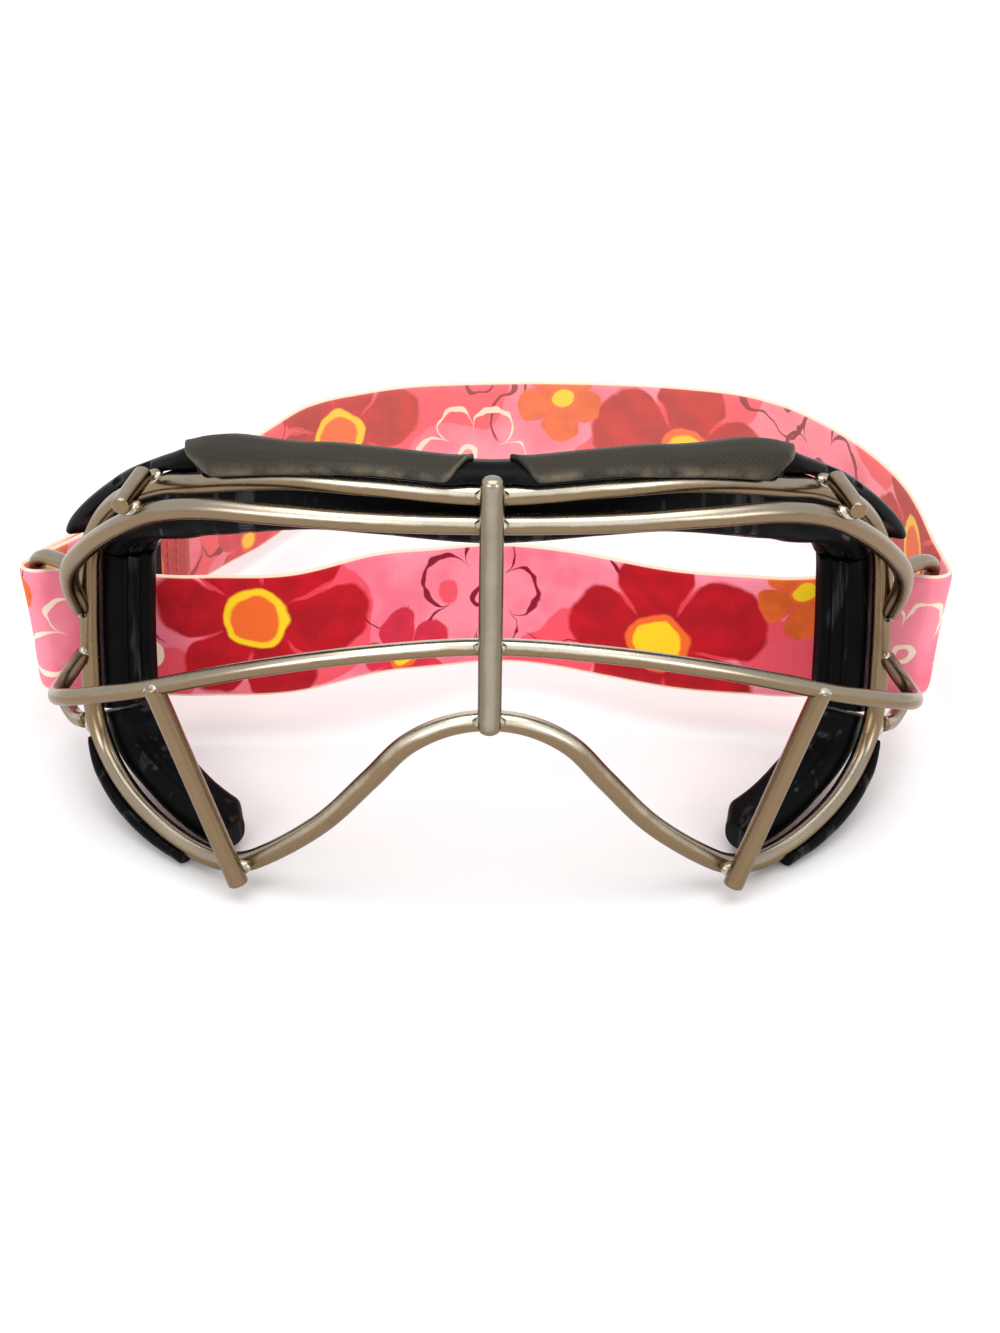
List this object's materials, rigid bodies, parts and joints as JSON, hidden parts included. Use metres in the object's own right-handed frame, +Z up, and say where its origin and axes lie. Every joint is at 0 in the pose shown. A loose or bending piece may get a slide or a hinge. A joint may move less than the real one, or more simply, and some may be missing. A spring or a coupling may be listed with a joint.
{
  "type": "lacrosse goggles",
  "caption": "Protective sports goggles: a welded wire cage over the eyes with a moulded brow guard, rubber padding and a printed elastic head strap on side loops.",
  "frame": {"origin": "under the middle of the outline, on the table that the goggles rest on", "axes": "+X to the right as seen from the front, +Y back towards the strap, +Z up"},
  "size_m": [0.1856, 0.1638, 0.0945],
  "materials": {
    "steel_wire": "satin nickel, bright at the welds",
    "guard_moulding": "black, semi-gloss",
    "insert_plate": "dark grey with a fine weave",
    "padding": "black moulded rubber foam",
    "rubber_trim": "black rubber",
    "strap_elastic": "pink elastic webbing with a printed floral pattern",
    "slider_plastic": "black nylon"
  },
  "bodies": {
    "goggles": {"main_rim": "steel_wire", "upper_bar": "steel_wire", "middle_bar": "steel_wire", "centre_bar": "steel_wire", "brow_strut_right": "steel_wire", "brow_strut_left": "steel_wire", "cheek_strut_right": "steel_wire", "cheek_strut_left": "steel_wire", "strap_loop_right": "steel_wire", "strap_loop_left": "steel_wire", "brow_guard": "guard_moulding", "brow_insert_right": "insert_plate", "brow_insert_left": "insert_plate", "brow_pad": "padding", "side_pad_right": "padding", "side_pad_left": "padding", "cheek_pad_right": "padding", "cheek_pad_left": "padding", "cheek_trim_right": "rubber_trim", "cheek_trim_left": "rubber_trim", "strap_band": "strap_elastic"},
    "slider": {"strap_slider": "slider_plastic"}
  },
  "joints": [
    {"name": "slider_along_strap", "type": "slide", "parent": "goggles", "child": "slider", "axis": [0.5343, 0.8359, -0.1254], "range_m": [-0.009, 0.011]}
  ]
}
